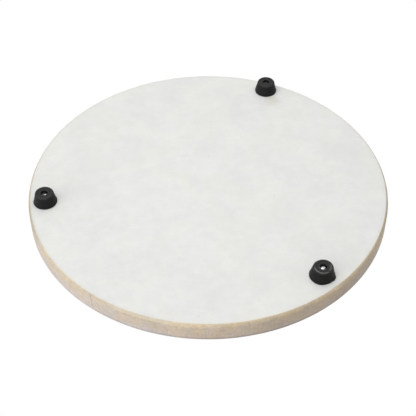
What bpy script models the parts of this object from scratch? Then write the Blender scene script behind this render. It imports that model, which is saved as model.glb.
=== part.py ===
"""Round marble serving board on three screwed rubber feet.

Modelled the way it is used: feet down on Z = 0, serving face up, slab centred on the Z axis.
Lengths are in metres, angles in degrees.
"""

import math

import bmesh
import bpy
from mathutils import Vector

MM = 0.001

# The slab of marble
BOARD_DIAMETER = 305.0 * MM
BOARD_THICKNESS = 18.0 * MM

# Its two rim edges. The underside's is a curve that leaves the flat face at a crisp corner, the serving
# face's is a plain round.
UNDERSIDE_EDGE_RADIUS = 5.0 * MM
UNDERSIDE_EDGE_START = 40.0
SERVING_EDGE_RADIUS = 2.5 * MM

# Where the feet stand: turned from +X, and how much stone each leaves between its flange and the rim.
# The holes are drilled by hand, so the three aren't quite even.
FOOT_ANGLES = (112.8, 228.9, 351.7)
RIM_MARGINS = (2.7 * MM, 6.7 * MM, 4.5 * MM)

# The moulded rubber foot, wide end on the stone
FOOT_HEIGHT = 10.0 * MM
FOOT_BASE_DIAMETER = 20.0 * MM
FOOT_END_DIAMETER = 15.0 * MM
FLANGE_HEIGHT = 0.9 * MM
FLANGE_STEP = 0.3 * MM
FLANGE_CHAMFER = 0.2 * MM
END_ROUNDING = 0.9 * MM
LAND_WIDTH = 1.2 * MM
DISH_DEPTH = 0.4 * MM
DISH_SLOPE_WIDTH = 0.3 * MM
BOSS_WIDTH = 1.2 * MM
BOSS_DROP = 0.15 * MM
MOUTH_CHAMFER = 0.25 * MM
RUBBER_UNDER_WASHER = 4.4 * MM

# The steel washer moulded into the foot
WASHER_DIAMETER = 10.0 * MM
WASHER_THICKNESS = 1.0 * MM
WASHER_EDGE_BREAK = 0.15 * MM

# The pan-head screw with a cross recess
SCREW_DIAMETER = 2.9 * MM
SCREW_LENGTH = 16.0 * MM
SCREW_POINT_LENGTH = 2.6 * MM
HEAD_DIAMETER = 5.2 * MM
HEAD_HEIGHT = 2.2 * MM
HEAD_EDGE_HEIGHT = 0.9 * MM
HEAD_FLAT_DIAMETER = 2.0 * MM
RECESS_SPAN = 2.7 * MM
RECESS_WIDTH = 0.65 * MM
RECESS_DEPTH = 1.3 * MM
RECESS_FLOOR_SHARE = 0.45
SCREW_TURNS = (12.0, 58.0, 35.0)

# The ribbed nylon plug in the stone
PLUG_WALL = 0.85 * MM
RIB_HEIGHT = 0.4 * MM
RIB_COUNT = 4
PLUG_COLLAR_HEIGHT = 1.2 * MM
PLUG_TAIL_HEIGHT = 0.8 * MM
PLUG_END_MARGIN = 0.8 * MM
PLUG_SLOT_WIDTH = 0.6 * MM
PLUG_SLOT_TURNS = (45.0, 135.0)

# Clearances
SEAT_GAP = 0.3 * MM
SCREW_CLEARANCE = 0.35 * MM
HEAD_CLEARANCE = 0.3 * MM
PLUG_CLEARANCE = 0.3 * MM

# How finely round pieces are cut
RIM_SEGMENTS = 144
EDGE_STEPS = 4
FOOT_SEGMENTS = 40
SMALL_SEGMENTS = 24
ROUNDING_STEPS = 4
SMOOTH_ANGLE = math.radians(30)
CUTTER_REACH = 2.0 * MM
WELD_DISTANCE = 0.001 * MM

# Sizes that follow from the ones above
FOOT_COUNT = len(FOOT_ANGLES)
FOOT_BASE_RADIUS = FOOT_BASE_DIAMETER / 2
FOOT_END_RADIUS = FOOT_END_DIAMETER / 2
SHANK_RADIUS = SCREW_DIAMETER / 2
HEAD_RADIUS = HEAD_DIAMETER / 2
BORE_RADIUS = HEAD_RADIUS + HEAD_CLEARANCE
SHANK_HOLE_RADIUS = SHANK_RADIUS + SCREW_CLEARANCE
SLAB_UNDERSIDE = FOOT_HEIGHT + SEAT_GAP
SLOT_TOP = FOOT_HEIGHT - RUBBER_UNDER_WASHER
WASHER_LEVEL = SLOT_TOP - SEAT_GAP - WASHER_THICKNESS
HEAD_LEVEL = WASHER_LEVEL - SEAT_GAP
SCREW_REACH = HEAD_LEVEL + SCREW_LENGTH - SLAB_UNDERSIDE
PLUG_LEVEL = SLAB_UNDERSIDE + SEAT_GAP
PLUG_LENGTH = SCREW_REACH - SEAT_GAP + PLUG_END_MARGIN
PLUG_RADIUS = SHANK_RADIUS + PLUG_CLEARANCE + PLUG_WALL + RIB_HEIGHT
HOLE_RADIUS = PLUG_RADIUS + PLUG_CLEARANCE
HOLE_DEPTH = SEAT_GAP + PLUG_LENGTH + SEAT_GAP


def clear_scene():
    """Removes whatever the scene holds, so that the script can be run again."""
    for thing in list(bpy.data.objects):
        bpy.data.objects.remove(thing, do_unlink=True)


def material(name, colour, roughness, metallic=0.0):
    """A Principled material with a linear colour."""
    made = bpy.data.materials.new(name)
    made.use_nodes = True
    shader = made.node_tree.nodes["Principled BSDF"]
    shader.inputs["Base Color"].default_value = (*colour, 1.0)
    shader.inputs["Roughness"].default_value = roughness
    shader.inputs["Metallic"].default_value = metallic
    return made


def add_object(name, mesh, *materials):
    """Links an object to the scene with its materials."""
    thing = bpy.data.objects.new(name, mesh)
    bpy.context.scene.collection.objects.link(thing)
    for each in materials:
        mesh.materials.append(each)
    return thing


def place(thing, parent, level, turn=0.0):
    """Stands a piece on its station's axis at a level above the floor."""
    thing.parent = parent
    thing.location = (0.0, 0.0, level)
    thing.rotation_euler = (0.0, 0.0, math.radians(turn))
    return thing


def finish_mesh(name, shape):
    """Makes a mesh of a bmesh, with its faces outwards and its round faces smooth."""
    bmesh.ops.recalc_face_normals(shape, faces=shape.faces)
    mesh = bpy.data.meshes.new(name)
    shape.to_mesh(mesh)
    shape.free()
    mesh.shade_smooth()
    mesh.set_sharp_from_angle(angle=SMOOTH_ANGLE)
    return mesh


def arc(centre, radius, start, end, steps):
    """Points along an arc in the profile plane, angles counted from the outward direction."""
    angles = [math.radians(start + (end - start) * i / steps) for i in range(steps + 1)]
    return [(centre[0] + radius * math.cos(a), centre[1] + radius * math.sin(a)) for a in angles]


def turned(name, profile, segments, closed=True):
    """Spins a profile of (radius, height) points about the Z axis and closes an open one with flat faces."""
    shape = bmesh.new()
    corners = [shape.verts.new((radius, 0.0, height)) for radius, height in profile]
    edges = [shape.edges.new((a, b)) for a, b in zip(corners, corners[1:])]
    if closed and profile[0][0] > 0.0:
        edges.append(shape.edges.new((corners[-1], corners[0])))
    bmesh.ops.spin(
        shape,
        geom=corners + edges,
        cent=(0.0, 0.0, 0.0),
        axis=(0.0, 0.0, 1.0),
        angle=math.tau,
        steps=segments,
        use_merge=True,
    )
    bmesh.ops.remove_doubles(shape, verts=shape.verts, dist=WELD_DISTANCE)
    bmesh.ops.holes_fill(shape, edges=shape.edges)
    return finish_mesh(name, shape)


def cut(thing, cutter):
    """Cuts one solid out of another and keeps the cutter as a wire guide."""
    boolean = thing.modifiers.new(f"cut_{cutter.name}", "BOOLEAN")
    boolean.operation = "DIFFERENCE"
    boolean.solver = "EXACT"
    boolean.object = cutter
    cutter.hide_render = True
    cutter.display_type = "WIRE"


def slab_profile():
    """Half section of the slab's rim, from its underside over both edges to its serving face."""
    rim = BOARD_DIAMETER / 2
    rise = UNDERSIDE_EDGE_RADIUS * math.cos(math.radians(UNDERSIDE_EDGE_START))
    lower_centre = (rim - UNDERSIDE_EDGE_RADIUS, rise)
    upper_centre = (rim - SERVING_EDGE_RADIUS, BOARD_THICKNESS - SERVING_EDGE_RADIUS)
    return [
        *arc(lower_centre, UNDERSIDE_EDGE_RADIUS, UNDERSIDE_EDGE_START - 90.0, 0.0, EDGE_STEPS),
        *arc(upper_centre, SERVING_EDGE_RADIUS, 0.0, 90.0, EDGE_STEPS),
    ]


def marble_slab(face_material, edge_material):
    """The round slab: a turned rim with two flat faces, which have a corner for each of its segments."""
    mesh = turned("marble_slab", slab_profile(), RIM_SEGMENTS, closed=False)
    slab = add_object("marble_slab", mesh, face_material, edge_material)
    for face in mesh.polygons:
        face.material_index = 0 if len(face.vertices) == RIM_SEGMENTS else 1
    slab.location = (0.0, 0.0, SLAB_UNDERSIDE)
    return slab


def plug_hole_cutter(number, station):
    """The drill that leaves a blind hole in the slab's underside."""
    depth = HOLE_DEPTH + CUTTER_REACH
    shape = bmesh.new()
    bmesh.ops.create_cone(
        shape,
        cap_ends=True,
        segments=SMALL_SEGMENTS,
        radius1=HOLE_RADIUS,
        radius2=HOLE_RADIUS,
        depth=depth,
    )
    drill = add_object(f"drill_{number}", finish_mesh("drill", shape))
    return place(drill, station, SLAB_UNDERSIDE + HOLE_DEPTH - depth / 2)


def foot_profile():
    """Half section of the foot, from the bore's mouth outwards and back through the washer's slot."""
    boss_start = BORE_RADIUS + MOUTH_CHAMFER
    land_end = FOOT_END_RADIUS - END_ROUNDING
    land_start = land_end - LAND_WIDTH
    cone_radius = FOOT_BASE_RADIUS - FLANGE_STEP
    flange_level = FOOT_HEIGHT - FLANGE_HEIGHT
    draft = math.degrees(math.atan2(cone_radius - FOOT_END_RADIUS, flange_level - END_ROUNDING))
    slot_radius = WASHER_DIAMETER / 2 + SEAT_GAP
    slot_floor = WASHER_LEVEL - SEAT_GAP
    return [
        (BORE_RADIUS, BOSS_DROP + MOUTH_CHAMFER),
        (boss_start, BOSS_DROP),
        (boss_start + BOSS_WIDTH, BOSS_DROP),
        (boss_start + BOSS_WIDTH + DISH_SLOPE_WIDTH, DISH_DEPTH),
        (land_start - DISH_SLOPE_WIDTH, DISH_DEPTH),
        (land_start, 0.0),
        *arc((land_end, END_ROUNDING), END_ROUNDING, -90.0, -draft, ROUNDING_STEPS),
        (cone_radius, flange_level),
        (FOOT_BASE_RADIUS, flange_level + FLANGE_STEP),
        (FOOT_BASE_RADIUS, FOOT_HEIGHT - FLANGE_CHAMFER),
        (FOOT_BASE_RADIUS - FLANGE_CHAMFER, FOOT_HEIGHT),
        (SHANK_HOLE_RADIUS, FOOT_HEIGHT),
        (SHANK_HOLE_RADIUS, SLOT_TOP),
        (slot_radius, SLOT_TOP),
        (slot_radius, slot_floor),
        (BORE_RADIUS, slot_floor),
    ]


def washer_profile():
    """Half section of the washer, standing on its own underside."""
    outer = WASHER_DIAMETER / 2
    return [
        (SHANK_HOLE_RADIUS, 0.0),
        (outer - WASHER_EDGE_BREAK, 0.0),
        (outer, WASHER_EDGE_BREAK),
        (outer, WASHER_THICKNESS - WASHER_EDGE_BREAK),
        (outer - WASHER_EDGE_BREAK, WASHER_THICKNESS),
        (SHANK_HOLE_RADIUS, WASHER_THICKNESS),
    ]


def screw_profile():
    """Half section of the screw, its head below its seat at height 0 and its point up."""
    flat_radius = HEAD_FLAT_DIAMETER / 2
    dome_height = HEAD_HEIGHT - HEAD_EDGE_HEIGHT
    dome = [
        (
            flat_radius + (HEAD_RADIUS - flat_radius) * math.sin(math.pi / 2 * i / ROUNDING_STEPS),
            -HEAD_EDGE_HEIGHT - dome_height * math.cos(math.pi / 2 * i / ROUNDING_STEPS),
        )
        for i in range(ROUNDING_STEPS + 1)
    ]
    return [
        (0.0, -HEAD_HEIGHT),
        *dome,
        (HEAD_RADIUS, 0.0),
        (SHANK_RADIUS, 0.0),
        (SHANK_RADIUS, SCREW_LENGTH - SCREW_POINT_LENGTH),
        (0.0, SCREW_LENGTH),
    ]


def plug_profile():
    """Half section of the plug, from its collar at height 0 up over its ribs to its tail."""
    bore = SHANK_RADIUS + PLUG_CLEARANCE
    root = PLUG_RADIUS - RIB_HEIGHT
    rib_pitch = (PLUG_LENGTH - PLUG_COLLAR_HEIGHT - PLUG_TAIL_HEIGHT) / RIB_COUNT
    outline = [(bore, 0.0), (PLUG_RADIUS, 0.0), (PLUG_RADIUS, PLUG_COLLAR_HEIGHT)]
    for rib in range(RIB_COUNT):
        foot = PLUG_COLLAR_HEIGHT + rib_pitch * rib
        outline.append((root, foot + RIB_HEIGHT))
        outline.append((PLUG_RADIUS, foot + rib_pitch))
    outline.append((root, PLUG_LENGTH - PLUG_TAIL_HEIGHT / 2))
    outline.append((bore + PLUG_WALL / 2, PLUG_LENGTH))
    outline.append((bore, PLUG_LENGTH))
    return outline


def recess_cutter(number, station, turn):
    """A tapering cross that leaves the driver recess in a screw head."""
    shape = bmesh.new()
    half_span = RECESS_SPAN / 2
    half_width = RECESS_WIDTH / 2
    corner = (
        (half_width, half_width),
        (half_width, half_span),
        (-half_width, half_span),
    )
    outline = []
    for quarter in range(4):
        turned_by = math.radians(90 * quarter)
        for x, y in corner:
            outline.append(
                (
                    x * math.cos(turned_by) - y * math.sin(turned_by),
                    x * math.sin(turned_by) + y * math.cos(turned_by),
                    -CUTTER_REACH,
                )
            )
    mouth = shape.faces.new([shape.verts.new(point) for point in outline])
    sunk = bmesh.ops.extrude_face_region(shape, geom=[mouth])
    floor = [item for item in sunk["geom"] if isinstance(item, bmesh.types.BMVert)]
    bmesh.ops.translate(shape, verts=floor, vec=(0.0, 0.0, CUTTER_REACH + RECESS_DEPTH))
    bmesh.ops.scale(shape, verts=floor, vec=(RECESS_FLOOR_SHARE, RECESS_FLOOR_SHARE, 1.0))
    driver = add_object(f"driver_{number}", finish_mesh("driver", shape))
    return place(driver, station, HEAD_LEVEL - HEAD_HEIGHT, turn)


def slot_cutter(number, station, turn):
    """One blade that splits the plug's legs from its collar to its tail."""
    length = PLUG_LENGTH - PLUG_COLLAR_HEIGHT + CUTTER_REACH
    width = 2 * (PLUG_RADIUS + CUTTER_REACH)
    shape = bmesh.new()
    bmesh.ops.create_cube(shape, size=1.0)
    bmesh.ops.scale(shape, verts=shape.verts, vec=(width, PLUG_SLOT_WIDTH, length))
    blade = add_object(f"slot_{number}_{int(turn)}", finish_mesh("slot", shape))
    return place(blade, station, PLUG_LEVEL + PLUG_COLLAR_HEIGHT + length / 2, turn)


def foot_station(number, angle, rim_margin):
    """An empty on the floor, on the axis that a foot, its washer, screw and plug share."""
    distance = BOARD_DIAMETER / 2 - rim_margin - FOOT_BASE_RADIUS
    station = bpy.data.objects.new(f"station_{number}", None)
    bpy.context.scene.collection.objects.link(station)
    turn = math.radians(angle)
    station.location = Vector((math.cos(turn), math.sin(turn), 0.0)) * distance
    return station


def add_foot(number, station, finishes, screw_turn):
    """The foot, washer, screw and plug of one station."""
    foot_mesh = turned("rubber_foot", foot_profile(), FOOT_SEGMENTS)
    place(add_object(f"rubber_foot_{number}", foot_mesh, finishes["rubber"]), station, 0.0)
    washer_mesh = turned("foot_washer", washer_profile(), SMALL_SEGMENTS)
    place(add_object(f"foot_washer_{number}", washer_mesh, finishes["steel"]), station, WASHER_LEVEL)
    screw_mesh = turned("foot_screw", screw_profile(), SMALL_SEGMENTS)
    screw = add_object(f"foot_screw_{number}", screw_mesh, finishes["zinc"])
    place(screw, station, HEAD_LEVEL, screw_turn)
    cut(screw, recess_cutter(number, station, screw_turn))
    plug_mesh = turned("screw_plug", plug_profile(), SMALL_SEGMENTS)
    plug = add_object(f"screw_plug_{number}", plug_mesh, finishes["nylon"])
    place(plug, station, PLUG_LEVEL)
    for turn in PLUG_SLOT_TURNS:
        cut(plug, slot_cutter(number, station, turn))


def main():
    clear_scene()
    finishes = {
        "rubber": material("black_rubber", (0.022, 0.022, 0.023), 0.6),
        "steel": material("washer_steel", (0.45, 0.45, 0.46), 0.35, 1.0),
        "zinc": material("zinc_plate", (0.72, 0.75, 0.78), 0.25, 1.0),
        "nylon": material("grey_nylon", (0.42, 0.42, 0.40), 0.5),
    }
    honed = material("honed_marble", (0.80, 0.80, 0.77), 0.45)
    waxed = material("waxed_marble_edge", (0.63, 0.55, 0.40), 0.35)
    slab = marble_slab(honed, waxed)
    for index in range(FOOT_COUNT):
        number = index + 1
        station = foot_station(number, FOOT_ANGLES[index], RIM_MARGINS[index])
        add_foot(number, station, finishes, SCREW_TURNS[index])
        cut(slab, plug_hole_cutter(number, station))


main()
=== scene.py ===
"""Round marble serving board on three screwed rubber feet: its finishes, studio and camera.

The board stands the way it is used, feet down, and the camera looks up at its underside.
Lengths are in metres and angles in degrees, apart from Blender's own angle settings, which keep radians.
"""

import math
import random

import bmesh
import bpy
from bpy.props import BoolProperty, FloatProperty, FloatVectorProperty, IntProperty, PointerProperty
from mathutils import Matrix, Vector, noise


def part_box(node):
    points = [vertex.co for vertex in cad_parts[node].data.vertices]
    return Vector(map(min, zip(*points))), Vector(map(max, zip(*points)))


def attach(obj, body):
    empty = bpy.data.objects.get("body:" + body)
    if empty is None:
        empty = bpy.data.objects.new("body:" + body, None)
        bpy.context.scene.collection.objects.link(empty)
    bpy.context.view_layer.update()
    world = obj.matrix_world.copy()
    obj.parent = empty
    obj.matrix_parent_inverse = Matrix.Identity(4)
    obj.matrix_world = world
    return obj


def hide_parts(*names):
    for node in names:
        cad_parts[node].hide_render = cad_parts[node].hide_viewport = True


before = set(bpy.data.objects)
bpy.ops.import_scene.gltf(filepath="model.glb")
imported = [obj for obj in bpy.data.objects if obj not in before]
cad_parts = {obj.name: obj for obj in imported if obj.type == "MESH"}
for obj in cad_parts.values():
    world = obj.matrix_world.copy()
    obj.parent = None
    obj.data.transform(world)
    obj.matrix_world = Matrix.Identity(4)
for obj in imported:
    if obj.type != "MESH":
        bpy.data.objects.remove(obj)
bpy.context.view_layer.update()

bl_info = {
    "name": "Marble serving board",
    "version": (1, 0, 0),
    "blender": (4, 5, 0),
    "location": "3D View > Sidebar > Serving board",
    "description": "Dresses the packed serving board: stone, rubber feet, screws, washers, plugs and studio",
    "category": "Object",
}

MM = 0.001
BODY = "root"
FOOT_NUMBERS = (1, 2, 3)
WELD_DISTANCE = 0.001 * MM

# The slab, read from the frame
SLAB_LOW, SLAB_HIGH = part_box("marble_slab")
SLAB_RADIUS = (SLAB_HIGH.x - SLAB_LOW.x) / 2
SLAB_THICKNESS = SLAB_HIGH.z - SLAB_LOW.z

# How finely the shown meshes are cut
RIM_SEGMENTS = 960
EDGE_STEPS = 10
WALL_ROWS = 8
FLAT_RING = 0.5 * MM
FOOT_SEGMENTS = 112
FOOT_EDGE_STEPS = 8
FOOT_CONE_ROWS = 6
SCREW_SEGMENTS = 36
DOME_STEPS = 8
HOLE_SEGMENTS = 48

# A corner whose sides open wider than this stays as it is, and a fillet takes this share of each side at most
STRAIGHT_ANGLE = 165.0
FILLET_SHARE = 0.4

# An edge that turns outwards by this much counts as fully worn
WORN_ANGLE = 40.0

# The rim's wander: the sizes of its swells and ripples
SWELL_SIZE = 14 * MM
RIPPLE_SIZE = 4 * MM

# Nicks: the least and the greatest width in millimetres, and the share of its depth that a nick also sinks
NICK_WIDTHS = (1.2, 2.8)
NICK_SINK = 0.3

# The moulded foot: heights are counted up from the surface it stands on
FOOT_END_RADIUS = 7.85 * MM
END_ROUNDING = 1.25 * MM
LAND_WIDTH = 1.2 * MM
DISH_DEPTH = 0.4 * MM
DISH_SLOPE_WIDTH = 0.3 * MM
BOSS_WIDTH = 1.2 * MM
BOSS_DROP = 0.15 * MM
MOUTH_CHAMFER = 0.25 * MM
FLANGE_HEIGHT = 0.9 * MM
FLANGE_STEP = 0.3 * MM
FLANGE_CHAMFER = 0.2 * MM
CORNER_FILLET = 0.12 * MM
FLASH_HEIGHT = 0.08 * MM
FLASH_REACH = 0.1 * MM
FOOT_TOP_GAP = 0.02 * MM
LIP_DEPTH = 1.0 * MM

# The screw: heights are counted from the seat of its head, down to the head and up to the point
HEAD_HEIGHT = 2.2 * MM
HEAD_EDGE_HEIGHT = 0.9 * MM
HEAD_FLAT_RADIUS = 1.0 * MM
HEAD_CHAMFER = 0.1 * MM
SHANK_RADIUS = 1.45 * MM
POINT_LENGTH = 2.6 * MM
POINT_SHARE = 0.15
THREAD_START = 1.6 * MM
THREAD_ROW = 0.11 * MM
GROOVE_STEEPNESS = 1.7
PLAIN_SHANK_SHARE = 0.6
RECESS_SPAN = 2.7 * MM
RECESS_WIDTH = 0.65 * MM
RECESS_DEPTH = 1.3 * MM
RECESS_FLOOR_SHARE = 0.45
CUTTER_REACH = 1.0 * MM
SCREW_TURNS = (12.0, 58.0, 35.0)

# The level of the seat under every screw's head
HEAD_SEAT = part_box("foot_screw_1")[0].z + HEAD_HEIGHT

# Gaps that the frame keeps between its pieces
SEAT_GAP = 0.3 * MM
BORE_CLEARANCE = 0.3 * MM

# Where each head keeps its bright zinc, a patch placed on its glint, while the rest is painted dark as a
# painted reflection: across and along from its axis, then the patch's half width and half length
GLINT_PATCHES = (
    (0.0, 0.0, 0.2 * MM, 0.2 * MM),
    (0.5 * MM, 0.7 * MM, 1.7 * MM, 2.1 * MM),
    (-0.35 * MM, -0.45 * MM, 1.05 * MM, 0.5 * MM),
)

# The share of its red, green and blue that the painted dark reflection leaves to the zinc
DARK_REFLECTION_SHARES = (0.06, 0.055, 0.05)

# Painted highlights on the feet's free ends, lighter grey where the lamps catch them: which side they face,
# the radii between which each begins and ends, and the height at which the one on the rounded edge ends
SOLE_HIGHLIGHT_TURN = 295.0
LAND_HIGHLIGHT_TURN = 190.0
EDGE_HIGHLIGHT_BEGINS = (6.35 * MM, 6.7 * MM)
EDGE_HIGHLIGHT_TOP = (0.04 * MM, 0.2 * MM)
MOUTH_HIGHLIGHT_BEGINS = (2.95 * MM, 3.1 * MM)
MOUTH_HIGHLIGHT_ENDS = (3.5 * MM, 4.1 * MM)
LAND_HIGHLIGHT_BEGINS = (4.4 * MM, 5.2 * MM)
LAND_HIGHLIGHT_ENDS = (6.6 * MM, 7.2 * MM)

# The painted shade inside the feet's bores ends between these radii, and the dust on their soles between these
# heights
PAINTED_BORE_SHADE_ENDS = (2.85 * MM, 3.15 * MM)
SOLE_DUST_TOP = (0.5 * MM, 1.4 * MM)

# Colours of rubbed rubber, of the painted highlight on the feet's free ends, of dusty rubber, and of the dust
# that drilling leaves
WORN_RUBBER = (0.06, 0.059, 0.057, 1.0)
RUBBER_HIGHLIGHT = (0.21, 0.205, 0.195, 1.0)
RUBBER_DUST = (0.10, 0.097, 0.09, 1.0)
STONE_DUST = (0.78, 0.78, 0.75, 1.0)

# The stone's pattern: the sizes of its clouds, mottle, crystals and scratches on each face
UNDERSIDE_CLOUD = 34 * MM
UNDERSIDE_MOTTLE = 7 * MM
UNDERSIDE_CRYSTAL = 0.9 * MM
UNDERSIDE_SCRATCH = 16 * MM
SERVING_CLOUD = 48 * MM
SERVING_MOTTLE = 9 * MM
SERVING_CRYSTAL = 1.1 * MM
SERVING_SCRATCH = 22 * MM
RIM_CRYSTAL = 1.1 * MM
BROAD_CLOUD = 22 * MM
STONE_IOR = 1.49

# The stone's pale bands: their width, how thin they are for their length, their turn, and where they gather
BAND_WIDTH = 12 * MM
BAND_THINNESS = 3.2
BAND_TURN = -24.0
BAND_AREA = 45 * MM

# Specks: how far apart they may lie, and the share of those places that stays empty
SPECK_SPACING = 9 * MM
SPECK_FREE_SHARE = 0.72

# The serving face's veins: how they wind, and the size, the width and the strength of each set
VEIN_BEND = 60 * MM
VEIN_REACH = (70 * MM, 70 * MM, 70 * MM)
VEIN_TURN = 38.0
VEIN_THINNESS = 2.3
VEIN_AREA = 80 * MM
VEIN_SETS = (
    (150 * MM, 0.045, 0.30),
    (70 * MM, 0.016, 0.35),
)

# Scratches: the turn of each lay, and how thin its scratches are for their length
SCRATCH_LAYS = (
    (17.0, 34.0),
    (-41.0, 42.0),
    (74.0, 38.0),
)

# Where the wax's edge lies on both faces: how far it wobbles, and the widths over which it fades and soaks in
WAX_WOBBLE = 0.5 * MM
WAX_FADE = 0.3 * MM
WAX_SOAK = 3.2 * MM

# The wax's layers: the levels between which honey turns to beige and beige to ashen, and how far they wander
HONEY_ENDS = (1.2 * MM, 4.8 * MM)
ASHEN_BEGINS = (0.45 * SLAB_THICKNESS, SLAB_THICKNESS)
LAYER_LUMP = 9 * MM
LAYER_WANDER = 6 * MM

# The wax's patterns: bands that run along the rim, tool marks across it, broad clouds and a blush
WAX_BAND = 7 * MM
WAX_BAND_FLATNESS = 3.5
TOOL_MARK = 1.5 * MM
TOOL_MARK_FLATNESS = 0.2
WAX_CLOUD = 38 * MM
BLUSH = 10.5 * MM
WARM_BLUSH = (1.028, 1.0, 0.95, 1.0)
COOL_BLUSH = (0.985, 0.992, 1.03, 1.0)

# The rim's sides: which way its pale side faces, whose greyer, in places darker wax is painted shade, which
# way the front lies, and the painted shade that darkens and cools the sides and back
KEY_SIDE_TURN = 320.0
FRONT_TURN = 270.0
REAR_PAINTED_SHADE = (0.81, 0.83, 0.86, 1.0)
REAR_SHADE_EASES = (5 * MM, 9 * MM)

# The levels between which painted shade darkens the serving edge, a painted contact shadow
SERVING_EDGE_SHADE_BEGINS = (14.0 * MM, 15.4 * MM)

# Marks that the rim shows: where each lies round the rim, its level above the underside, and its size
RUBBED_RISE = 0.8 * MM
SEAM_ANGLE = 306.2
SEAM_SLANT = 6.0
SEAM_LEAN = 0.8
SEAM_RISE = 7.0 * MM
SEAM_HALF_WIDTH = 0.6 * MM
SEAM_HALF_HEIGHT = 7.5 * MM
# The pale streak is a painted highlight: the directions round the rim between which it runs, its level and its
# half height
HIGHLIGHT_ANGLES = (276.0, 302.0)
HIGHLIGHT_RISE = 1.4 * MM
HIGHLIGHT_HALF_HEIGHT = 1.3 * MM
RIM_MARKS = (
    (258.4, 2.6 * MM, 0.5 * MM, 2.2 * MM),
    (250.2, 2.2 * MM, 0.7 * MM, 0.8 * MM),
)

# A warm, darker patch on the underside beside foot 1
WARM_PATCH_CENTRE = (-59.3 * MM, 113.5 * MM, 0.0)
WARM_PATCH_HALF_WIDTH = 9.0 * MM
WARM_PATCH_HALF_LENGTH = 8.5 * MM
WARM_PATCH_TINT = (0.905, 0.865, 0.79, 1.0)

# The studio: the floor's half width, how broad the upper lamp is in degrees, the camera's sensor in
# millimetres, and the nearest and furthest that the camera sees
FLOOR_HALF_WIDTH = 9.0
UPPER_KEY_SPREAD = 40.0
SENSOR_WIDTH = 36.0
NEAREST_SEEN = 0.01
FURTHEST_SEEN = 50.0

# The values between which a noise nearly always lies
NOISE_SPAN = (0.35, 0.65)

# Sockets of the Mix node by number, because several share a name
MIX_FACTOR = 0
MIX_A = 6
MIX_B = 7
MIX_RESULT = 2


def colour_setting(name, description, default):
    """A setting for a colour."""
    return FloatVectorProperty(name=name, description=description, subtype="COLOR", default=default)


def length_setting(name, description, default):
    """A setting for a length."""
    return FloatProperty(name=name, description=description, unit="LENGTH", default=default)


def angle_setting(name, description, degrees):
    """A setting for an angle."""
    return FloatProperty(name=name, description=description, subtype="ANGLE", default=math.radians(degrees))


def level_setting(name, description, default):
    """A setting for a level of light."""
    return FloatProperty(name=name, description=description, default=default)


class StoneSettings(bpy.types.PropertyGroup):
    """The stone's colours and how far its rim has worn."""

    white: colour_setting("White", "The stone's main colour", (0.800, 0.808, 0.765))
    cool: colour_setting("Cool cloud", "The greyer clouds in the stone", (0.780, 0.780, 0.778))
    vein: colour_setting("Vein", "The soft veins of the serving face", (0.52, 0.53, 0.53))
    honey: colour_setting("Honey edge", "Waxed stone along the underside's edge", (0.70, 0.578, 0.402))
    beige: colour_setting("Beige wall", "Waxed stone of the wall", (0.62, 0.515, 0.40))
    ashen: colour_setting("Ashen edge", "Waxed stone along the serving edge", (0.605, 0.51, 0.435))
    # The pale-side colours are greyer, in places darker copies of the wax: painted shade where the key lamps
    # light the rim most
    key_side_honey: colour_setting("Pale honey", "The honey edge on the rim's pale side", (0.585, 0.505, 0.385))
    key_side_beige: colour_setting("Pale beige", "The beige wall on the rim's pale side", (0.61, 0.53, 0.44))
    key_side_ashen: colour_setting("Pale ashen", "The ashen edge on the rim's pale side", (0.59, 0.53, 0.53))
    # The colour of a painted highlight, the pale streak on the underside's edge
    streak_highlight: colour_setting("Cream streak", "The pale streak on the underside's edge", (0.78, 0.69, 0.54))
    underside_edge: length_setting("Underside edge", "Radius of the curve along this edge", 5.0 * MM)
    edge_start: angle_setting("Edge start", "How steeply that curve leaves the underside's flat", 40.0)
    crispness: length_setting("Crispness", "Width over which that curve's corner is worn", 0.12 * MM)
    serving_edge: length_setting("Serving edge", "Radius of the serving face's round edge", 2.5 * MM)
    wander: length_setting("Wander", "How far the dressed rim wanders inwards", 0.12 * MM)
    nick_count: IntProperty(name="Nicks", description="How many small nicks the rim's edges have", default=26)
    nick_depth: length_setting("Nick depth", "How deep the deepest nick goes", 0.38 * MM)
    seed: IntProperty(name="Seed", description="Places the nicks", default=7)


class FixingSettings(bpy.types.PropertyGroup):
    """The feet and the pieces that hold them."""

    rubber: colour_setting("Rubber", "Colour of the moulded feet", (0.0095, 0.0095, 0.0098))
    sole_dust: colour_setting("Sole dust", "Colour of the feet's dusty soles", (0.033, 0.0325, 0.032))
    # How strongly each foot's free end shows its painted highlight of lighter grey rubber
    sole_highlight_share: FloatVectorProperty(
        name="Scuff",
        description="How far each foot's free end is rubbed grey",
        min=0.0,
        max=1.0,
        default=(0.0, 0.8, 0.1),
    )
    zinc: colour_setting("Zinc", "Colour of the plated screws", (0.84, 0.87, 0.89))
    steel: colour_setting("Steel", "Colour of the washers", (0.45, 0.45, 0.46))
    nylon: colour_setting("Nylon", "Colour of the plugs", (0.42, 0.42, 0.40))
    thread_pitch: length_setting("Thread pitch", "Rise of the screw's thread in one turn", 1.2 * MM)
    thread_depth: length_setting("Thread depth", "From the thread's crest to its root", 0.35 * MM)
    # How far the screw heads are painted dark outside their glint patches, a painted dark reflection
    painted_head_darkness: FloatProperty(
        name="Tarnish",
        description="How dull the screw heads are outside their bright patches",
        min=0.0,
        max=1.0,
        default=0.95,
    )
    bulge: length_setting("Bulge", "How far foot 2 bulges to the side that its screw pulls", 0.8 * MM)
    bulge_turn: angle_setting("Bulge turn", "Which side of foot 2 that is", 335.0)
    flash_lip: length_setting("Flash lip", "How far foot 2's flange stands out in one place", 0.6 * MM)
    flash_lip_turn: angle_setting("Flash lip turn", "Where on foot 2 that lip is", 203.0)


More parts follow.
